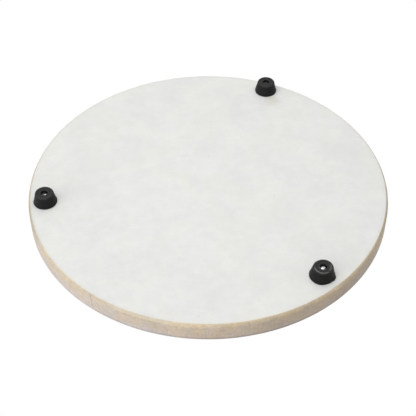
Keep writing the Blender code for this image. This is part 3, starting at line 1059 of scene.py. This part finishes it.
def slab_shape(stone):
    """The slab's rim, spun from its profile, with its serving face closed."""
    profile = [(radius, SLAB_LOW.z + rise) for radius, rise in rim_profile(stone)]
    shape = spun(profile, RIM_SEGMENTS)
    bmesh.ops.edgeloop_fill(shape, edges=open_rim(shape, SLAB_HIGH.z))
    return shape


def sink_plug_hole(shape, plug):
    """Sinks a blind hole for a plug and returns the rim of its mouth."""
    centre = axis_of(plug)
    centre.z = SLAB_LOW.z
    ring = bmesh.ops.create_circle(
        shape,
        cap_ends=False,
        segments=HOLE_SEGMENTS,
        radius=radius_of(plug) + BORE_CLEARANCE,
        matrix=Matrix.Translation(centre),
    )
    mouth = list({edge for vert in ring["verts"] for edge in vert.link_edges})
    wall = bmesh.ops.extrude_edge_only(shape, edges=mouth)["geom"]
    floor = [item for item in wall if isinstance(item, bmesh.types.BMVert)]
    floor_rim = [item for item in wall if isinstance(item, bmesh.types.BMEdge)]
    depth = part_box(plug)[1].z + SEAT_GAP - SLAB_LOW.z
    bmesh.ops.translate(shape, verts=floor, vec=(0.0, 0.0, depth))
    bmesh.ops.edgeloop_fill(shape, edges=floor_rim)
    return mouth


def close_underside(shape):
    """Sinks the blind holes for the plugs and closes the underside round them."""
    edges = open_rim(shape, SLAB_LOW.z)
    for number in FOOT_NUMBERS:
        edges += sink_plug_hole(shape, f"screw_plug_{number}")
    bmesh.ops.triangle_fill(shape, use_beauty=True, edges=edges)


def scatter_nicks(stone):
    """Places the nicks along both rim edges: where each is, how wide and how deep."""
    random.seed(stone.seed)
    lower_inset, upper_inset = edge_insets(stone)
    nicks = []
    for index in range(stone.nick_count):
        angle = math.tau * (index + random.random()) / stone.nick_count
        low_edge = random.random() < 0.5
        width = random.uniform(*NICK_WIDTHS) * MM
        depth = stone.nick_depth * random.random() ** 2
        radius = SLAB_RADIUS - (lower_inset if low_edge else upper_inset)
        level = SLAB_LOW.z if low_edge else SLAB_HIGH.z
        nicks.append((Vector((radius * math.cos(angle), radius * math.sin(angle), level)), width, depth))
    return nicks


def dress_rim(shape, stone):
    """Lets the rim wander inwards, as hand-dressed stone does, and knocks the nicks into its edges."""
    nicks = scatter_nicks(stone)
    inner = SLAB_RADIUS - max(edge_insets(stone)) - FLAT_RING / 2
    middle = SLAB_LOW.z + SLAB_THICKNESS / 2
    for vert in shape.verts:
        radius = vert.co.xy.length
        if radius < inner:
            continue
        swell = 0.5 * noise.noise(vert.co / SWELL_SIZE)
        ripple = 0.25 * noise.noise(vert.co / RIPPLE_SIZE)
        push = stone.wander * max(0.0, 0.5 + swell + ripple)
        for centre, width, depth in nicks:
            away = (vert.co - centre).length / width
            if away < 1.0:
                push += depth * (1 - away * away) ** 2
        vert.co.xy *= 1 - push / radius
        flat = abs(abs(vert.co.z - middle) - SLAB_THICKNESS / 2) < WELD_DISTANCE
        if push > stone.wander and not flat:
            vert.co.z += math.copysign(NICK_SINK * (push - stone.wander), middle - vert.co.z)


def share_out_faces(shape, stone):
    """Gives the underside, the serving face and the rim each their own material slot."""
    flat_ends = [SLAB_RADIUS - inset + 0.3 * stone.crispness for inset in edge_insets(stone)]
    for face in shape.faces:
        on_top = face.calc_center_bounds().z > SLAB_LOW.z + SLAB_THICKNESS / 2
        near_rim = max(vert.co.xy.length for vert in face.verts) > flat_ends[on_top]
        face.material_index = 2 if near_rim else int(on_top)


class BOARD_OT_marble_slab(bpy.types.Operator):
    """Models the slab with its dressed rim and gives each of its surfaces a finish"""

    bl_idname = "board.marble_slab"
    bl_label = "Marble slab"

    def execute(self, context):
        stone = context.scene.serving_board.stone
        shape = slab_shape(stone)
        close_underside(shape)
        share_out_faces(shape, stone)
        dress_rim(shape, stone)
        materials = (honed_underside(stone), polished_serving_face(stone), waxed_edge(stone))
        finish_piece("dressed_marble_slab", shape, "marble_slab", materials, smooth_angle=50.0)
        return {"FINISHED"}


def sole_profile(bore):
    """A foot's free end, from its bore's mouth over its boss and dish to its land."""
    boss_start = bore + MOUTH_CHAMFER
    boss_end = boss_start + BOSS_WIDTH
    land_start = FOOT_END_RADIUS - END_ROUNDING - LAND_WIDTH
    return [
        (bore, BOSS_DROP + MOUTH_CHAMFER),
        (boss_start, BOSS_DROP),
        (boss_end, BOSS_DROP),
        (boss_end + DISH_SLOPE_WIDTH, DISH_DEPTH),
        (land_start - DISH_SLOPE_WIDTH, DISH_DEPTH),
        (land_start, 0.0),
    ]


def cone_profile(top_radius, top):
    """A foot's rounded end and, in rows, its cone up to its flange."""
    centre = (FOOT_END_RADIUS - END_ROUNDING, END_ROUNDING)
    draft = math.degrees(math.atan2(top_radius - FOOT_END_RADIUS, top - END_ROUNDING))
    cone = arc(centre, END_ROUNDING, -90.0, -draft, FOOT_EDGE_STEPS)
    start_radius, start = cone[-1]
    for row in range(1, FOOT_CONE_ROWS):
        radius = start_radius + (top_radius - start_radius) * row / FOOT_CONE_ROWS
        height = start + (top - start) * row / FOOT_CONE_ROWS
        cone.append((radius, height))
    return cone


def flange_profile(base_radius, flange, top):
    """A foot's flange, with the flash that its mould left halfway up."""
    side = base_radius - FLASH_REACH
    flash = flange + FLANGE_HEIGHT / 2
    return [
        (base_radius - FLANGE_STEP, flange),
        (side, flange + FLANGE_STEP),
        (side, flash),
        (base_radius, flash + FLASH_HEIGHT / 2),
        (side, flash + FLASH_HEIGHT),
        (side, top - FLANGE_CHAMFER),
        (base_radius - FLANGE_CHAMFER, top),
    ]


def slot_profile(bore, washer, top):
    """The hole for a screw's shank and the slot for the washer, down to the bore."""
    low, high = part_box(washer)
    shank_hole = SHANK_RADIUS + SEAT_GAP
    slot_radius = radius_of(washer) + SEAT_GAP
    return [
        (shank_hole, top),
        (shank_hole, high.z + SEAT_GAP),
        (slot_radius, high.z + SEAT_GAP),
        (slot_radius, low.z - SEAT_GAP),
        (bore, low.z - SEAT_GAP),
    ]


def foot_profile(number):
    """Half section of a foot from its bore's mouth outwards, with its outer sizes read from the frame."""
    base_radius = radius_of(f"rubber_foot_{number}")
    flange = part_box(f"rubber_foot_{number}")[1].z - FLANGE_HEIGHT
    top = SLAB_LOW.z - FOOT_TOP_GAP
    bore = radius_of(f"foot_screw_{number}") + BORE_CLEARANCE
    outside = sole_profile(bore) + cone_profile(base_radius - FLANGE_STEP, flange)
    outside += flange_profile(base_radius, flange, top)
    return fillet(outside + slot_profile(bore, f"foot_washer_{number}", top), CORNER_FILLET, 2)


def press_out_of_round(shape, fixings, base_radius, base_level):
    """Bulges a foot to the side its screw pulls, and draws its flange out into a lip of flash."""
    bulge_way = Vector((math.cos(fixings.bulge_turn), math.sin(fixings.bulge_turn)))
    lip_way = Vector((math.cos(fixings.flash_lip_turn), math.sin(fixings.flash_lip_turn)))
    for vert in shape.verts:
        radius = vert.co.xy.length
        skin = eased(radius, 0.4 * base_radius, 0.65 * base_radius)
        upward = 0.5 + 0.5 * vert.co.z / base_level
        reach = fixings.bulge * skin * upward * eased(vert.co.xy.dot(bulge_way) / radius, 0.0, 0.8)
        if vert.co.z > base_level - FLANGE_HEIGHT and radius > base_radius - LIP_DEPTH:
            reach += fixings.flash_lip * eased(vert.co.xy.dot(lip_way) / radius, 0.93, 1.0)
        vert.co.xy *= 1 + reach / radius


class BOARD_OT_rubber_feet(bpy.types.Operator):
    """Models the three moulded feet, each over its own node"""

    bl_idname = "board.rubber_feet"
    bl_label = "Rubber feet"

    def execute(self, context):
        fixings = context.scene.serving_board.fixings
        for number in FOOT_NUMBERS:
            node = f"rubber_foot_{number}"
            shape = spun(foot_profile(number), FOOT_SEGMENTS, closed=True)
            if number == 2:
                press_out_of_round(shape, fixings, radius_of(node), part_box(node)[1].z)
            bmesh.ops.translate(shape, verts=shape.verts, vec=axis_of(node))
            materials = (moulded_rubber(fixings, number),)
            finish_piece(f"moulded_foot_{number}", shape, node, materials, smooth_angle=32.0)
        return {"FINISHED"}


def screw_profile(length):
    """Half section of a screw: its head lies below height 0, its shank has a row for each slice of thread."""
    head_radius = radius_of("foot_screw_1")
    dome_width = head_radius - HEAD_FLAT_RADIUS
    dome_height = HEAD_HEIGHT - HEAD_EDGE_HEIGHT
    profile = [(0.0, -HEAD_HEIGHT)]
    for step in range(DOME_STEPS + 1):
        angle = math.pi / 2 * step / DOME_STEPS
        radius = HEAD_FLAT_RADIUS + dome_width * math.sin(angle)
        profile.append((radius, -HEAD_EDGE_HEIGHT - dome_height * math.cos(angle)))
    profile += [(head_radius, -HEAD_CHAMFER), (head_radius - HEAD_CHAMFER, 0.0)]
    rows = int(length / THREAD_ROW)
    profile += [(SHANK_RADIUS, length * row / rows) for row in range(rows)]
    return profile + [(0.0, length)]


def cut_thread(shape, length, fixings):
    """Sinks the groove between the turns of the thread and draws the shank to its point."""
    for vert in shape.verts:
        radius = vert.co.xy.length
        if vert.co.z < THREAD_ROW / 2 or radius > SHANK_RADIUS + WELD_DISTANCE or radius < WELD_DISTANCE:
            continue
        turn = math.atan2(vert.co.y, vert.co.x) / math.tau
        phase = (vert.co.z / fixings.thread_pitch - turn) % 1.0
        groove = min(1.0, GROOVE_STEEPNESS * (1 - abs(2 * phase - 1)))
        runout = min(1.0, max(0.0, (vert.co.z - THREAD_START) / fixings.thread_pitch))
        sunk = fixings.thread_depth * (groove * runout + PLAIN_SHANK_SHARE * (1 - runout))
        point = min(1.0, (length - vert.co.z) / POINT_LENGTH)
        wanted = (SHANK_RADIUS - sunk) * (POINT_SHARE + (1 - POINT_SHARE) * point)
        vert.co.xy *= wanted / radius


def driver_cross():
    """The tapering cross that a screwdriver's point fills, its mouth at height 0."""
    shape = bmesh.new()
    bmesh.ops.create_cube(shape, size=1.0)
    bmesh.ops.scale(shape, verts=shape.verts, vec=(RECESS_WIDTH, RECESS_WIDTH, RECESS_DEPTH + CUTTER_REACH))
    sides = [face for face in shape.faces if abs(face.normal.z) < 0.5]
    arms = bmesh.ops.extrude_discrete_faces(shape, faces=sides)["faces"]
    for face in arms:
        bmesh.ops.translate(shape, verts=face.verts, vec=face.normal * (RECESS_SPAN - RECESS_WIDTH) / 2)
    floor = [vert for vert in shape.verts if vert.co.z > 0.0]
    bmesh.ops.scale(shape, verts=floor, vec=(RECESS_FLOOR_SHARE, RECESS_FLOOR_SHARE, 1.0))
    bmesh.ops.translate(shape, verts=shape.verts, vec=(0.0, 0.0, (RECESS_DEPTH - CUTTER_REACH) / 2))
    return shape


def sink_recess(context, screw, cross):
    """Cuts the driver recess out of a screw's head and takes the cutter away again."""
    bmesh.ops.recalc_face_normals(cross, faces=cross.faces)
    cutter = place_object("driver_cross", mesh_of("driver_cross", cross))
    recess = screw.modifiers.new("recess", "BOOLEAN")
    recess.operation = "DIFFERENCE"
    recess.solver = "EXACT"
    recess.object = cutter
    context.view_layer.update()
    done = bpy.data.meshes.new_from_object(screw.evaluated_get(context.evaluated_depsgraph_get()))
    screw.modifiers.remove(recess)
    screw.data = done
    done.name = screw.name
    bpy.data.objects.remove(cutter, do_unlink=True)


class BOARD_OT_foot_screws(bpy.types.Operator):
    """Models the three pan-head screws with their threads and driver recesses"""

    bl_idname = "board.foot_screws"
    bl_label = "Foot screws"

    def execute(self, context):
        fixings = context.scene.serving_board.fixings
        for number in FOOT_NUMBERS:
            node = f"foot_screw_{number}"
            low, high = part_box(node)
            seat = low.z + HEAD_HEIGHT
            length = high.z - seat
            shape = spun(screw_profile(length), SCREW_SEGMENTS)
            cut_thread(shape, length, fixings)
            turn = Matrix.Rotation(math.radians(SCREW_TURNS[number - 1]), 4, "Z")
            place = Matrix.Translation(axis_of(node) + Vector((0.0, 0.0, seat))) @ turn
            bmesh.ops.transform(shape, matrix=place, verts=shape.verts)
            materials = (zinc_plate(fixings, number),)
            screw = finish_piece(f"threaded_screw_{number}", shape, node, materials)
            cross = driver_cross()
            head = place @ Matrix.Translation((0.0, 0.0, -HEAD_HEIGHT))
            bmesh.ops.transform(cross, matrix=head, verts=cross.verts)
            sink_recess(context, screw, cross)
        return {"FINISHED"}


class BOARD_OT_washers_and_plugs(bpy.types.Operator):
    """Gives the washers and the plugs, which stay as the frame has them, their finishes"""

    bl_idname = "board.washers_and_plugs"
    bl_label = "Washers and plugs"

    def execute(self, context):
        fixings = context.scene.serving_board.fixings
        finishes = {"foot_washer": washer_steel(fixings), "screw_plug": grey_nylon(fixings)}
        for kind, finish in finishes.items():
            for number in FOOT_NUMBERS:
                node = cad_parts[f"{kind}_{number}"]
                node.data.materials.clear()
                node.data.materials.append(finish)
        return {"FINISHED"}


def floor_material(studio):
    """A white floor that keeps its shadows and is seen from above only."""
    made = bpy.data.materials.new("studio_floor")
    made.use_nodes = True
    tree = made.node_tree
    tree.nodes.clear()
    sink = tree.nodes.new("ShaderNodeOutputMaterial")
    matt = put(tree, "ShaderNodeBsdfDiffuse", {"Color": (studio.floor, studio.floor, studio.floor, 1.0)})
    path = tree.nodes.new("ShaderNodeLightPath")
    rest = times(path.outputs["Is Camera Ray"], 1.0 - studio.floor)
    glow = put(tree, "ShaderNodeEmission", {"Color": (1, 1, 1, 1), "Strength": rest})
    white = put(tree, "ShaderNodeAddShader", {0: matt.outputs[0], 1: glow.outputs[0]})
    side = tree.nodes.new("ShaderNodeNewGeometry")
    clear = tree.nodes.new("ShaderNodeBsdfTransparent")
    inputs = {0: side.outputs["Backfacing"], 1: white.outputs[0], 2: clear.outputs[0]}
    tree.links.new(put(tree, "ShaderNodeMixShader", inputs).outputs[0], sink.inputs["Surface"])
    return made


def add_floor(studio):
    """The floor under the feet. Light passes up through it to the underside, which the camera looks at."""
    shape = bmesh.new()
    bmesh.ops.create_grid(shape, x_segments=1, y_segments=1, size=FLOOR_HALF_WIDTH)
    mesh = mesh_of("studio_floor", shape)
    mesh.materials.append(floor_material(studio))
    floor = place_object("studio_floor", mesh)
    floor.visible_shadow = False
    floor.visible_diffuse = False
    floor.visible_glossy = False
    floor.visible_transmission = False


def add_world(context, studio):
    """Even light from all round, seen as white by the camera and in reflections."""
    world = bpy.data.worlds.new("studio_world")
    world.use_nodes = True
    tree = world.node_tree
    tree.nodes.clear()
    sink = tree.nodes.new("ShaderNodeOutputWorld")
    path = tree.nodes.new("ShaderNodeLightPath")
    seen = calc("MAXIMUM", path.outputs["Is Camera Ray"], path.outputs["Is Glossy Ray"])
    seen = calc("MAXIMUM", seen, path.outputs["Is Transmission Ray"])
    soft = put(tree, "ShaderNodeBackground", {"Color": (1, 1, 1, 1), "Strength": studio.ambient})
    white = put(tree, "ShaderNodeBackground", {"Color": (1, 1, 1, 1), "Strength": 1.0})
    look = put(tree, "ShaderNodeMixShader", {0: seen, 1: soft.outputs[0], 2: white.outputs[0]})
    tree.links.new(look.outputs[0], sink.inputs["Surface"])
    context.scene.world = world


def add_lamp(name, kind, turn, height, distance):
    """A lamp that shines on the board's middle, from a turn round the board and an angle above its plane."""
    lamp = place_object(name, bpy.data.lights.new(name, kind))
    flat = math.cos(math.radians(height))
    rise = math.sin(math.radians(height))
    direction = Vector((math.cos(math.radians(turn)) * flat, math.sin(math.radians(turn)) * flat, rise))
    lamp.location = Vector((0.0, 0.0, SLAB_LOW.z)) + direction * distance
    lamp.rotation_mode = "QUATERNION"
    lamp.rotation_quaternion = direction.to_track_quat("Z", "Y")
    lamp.visible_camera = False
    return lamp


def soft_box(name, level, turn, height, distance, size):
    """A round area lamp that lights a surface square to its light to a level."""
    lamp = add_lamp(name, "AREA", turn, height, distance)
    spread_loss = 1 + (size / 2 / distance) ** 2
    lamp.data.shape = "DISK"
    lamp.data.size = size
    lamp.data.energy = level * math.pi**2 * distance**2 * spread_loss
    return lamp


def add_lamps(studio):
    """Two soft boxes below the board, one beside its rim, and a broad lamp behind and above it.

    The side and the upper lamp leave no glare on the polished serving face.
    """
    soft_box("front_key", studio.front_key, turn=322, height=-36, distance=2.8, size=3.4)
    side = soft_box("side_key", studio.side_key, turn=322, height=8, distance=2.8, size=2.4)
    soft_box("under_key", studio.under_key, turn=30, height=-85, distance=0.6, size=0.85)
    upper = add_lamp("upper_key", "SUN", turn=108, height=45, distance=2.0)
    upper.data.angle = math.radians(UPPER_KEY_SPREAD)
    upper.data.energy = studio.upper_key * math.pi
    side.visible_glossy = False
    upper.visible_glossy = False


def add_camera(context, studio):
    """The camera under the board, its picture's upper side turned to the floor's side of the world."""
    data = bpy.data.cameras.new("photo_camera")
    data.lens = studio.lens
    data.sensor_width = SENSOR_WIDTH
    data.clip_start = NEAREST_SEEN
    data.clip_end = FURTHEST_SEEN
    camera = place_object("photo_camera", data)
    position = Vector((0.0, -studio.reach, SLAB_LOW.z - studio.drop))
    aim = Vector((studio.aside, -studio.aim, SLAB_LOW.z))
    back = (position - aim).normalized()
    right = Vector((0.0, 0.0, -1.0)).cross(back).normalized()
    up = back.cross(right)
    turned = Matrix((right, up, back)).transposed().to_4x4() @ Matrix.Rotation(studio.roll, 4, "Z")
    camera.matrix_world = Matrix.Translation(position) @ turned
    context.scene.camera = camera


class BOARD_OT_studio(bpy.types.Operator):
    """Sets up the floor, the light and the camera"""

    bl_idname = "board.studio"
    bl_label = "Studio"

    def execute(self, context):
        studio = context.scene.serving_board.studio
        if studio.show_floor:
            add_floor(studio)
        add_world(context, studio)
        add_lamps(studio)
        add_camera(context, studio)
        context.scene.view_settings.view_transform = "Standard"
        return {"FINISHED"}


OPERATORS = (
    BOARD_OT_marble_slab,
    BOARD_OT_rubber_feet,
    BOARD_OT_foot_screws,
    BOARD_OT_washers_and_plugs,
    BOARD_OT_studio,
)


class BOARD_PT_panel(bpy.types.Panel):
    """Lists the board's pieces and their settings"""

    bl_idname = "BOARD_PT_panel"
    bl_label = "Serving board"
    bl_space_type = "VIEW_3D"
    bl_region_type = "UI"
    bl_category = "Serving board"

    def draw(self, context):
        settings = context.scene.serving_board
        for operator in OPERATORS:
            self.layout.operator(operator.bl_idname)
        for part in (settings.stone, settings.fixings, settings.studio):
            box = self.layout.box()
            for name in part.__annotations__:
                box.prop(part, name)


CLASSES = (StoneSettings, FixingSettings, StudioSettings, BoardSettings, *OPERATORS, BOARD_PT_panel)


def register():
    """Makes the settings, the operators and the panel known to Blender."""
    for each in CLASSES:
        bpy.utils.register_class(each)
    bpy.types.Scene.serving_board = PointerProperty(type=BoardSettings)


def unregister():
    """Takes them away again."""
    del bpy.types.Scene.serving_board
    for each in reversed(CLASSES):
        bpy.utils.unregister_class(each)


def main():
    """Makes the board piece by piece, then its studio."""
    register()
    build_groups()
    bpy.ops.board.marble_slab()
    bpy.ops.board.rubber_feet()
    bpy.ops.board.foot_screws()
    bpy.ops.board.washers_and_plugs()
    bpy.ops.board.studio()


if __name__ == "__main__":
    main()
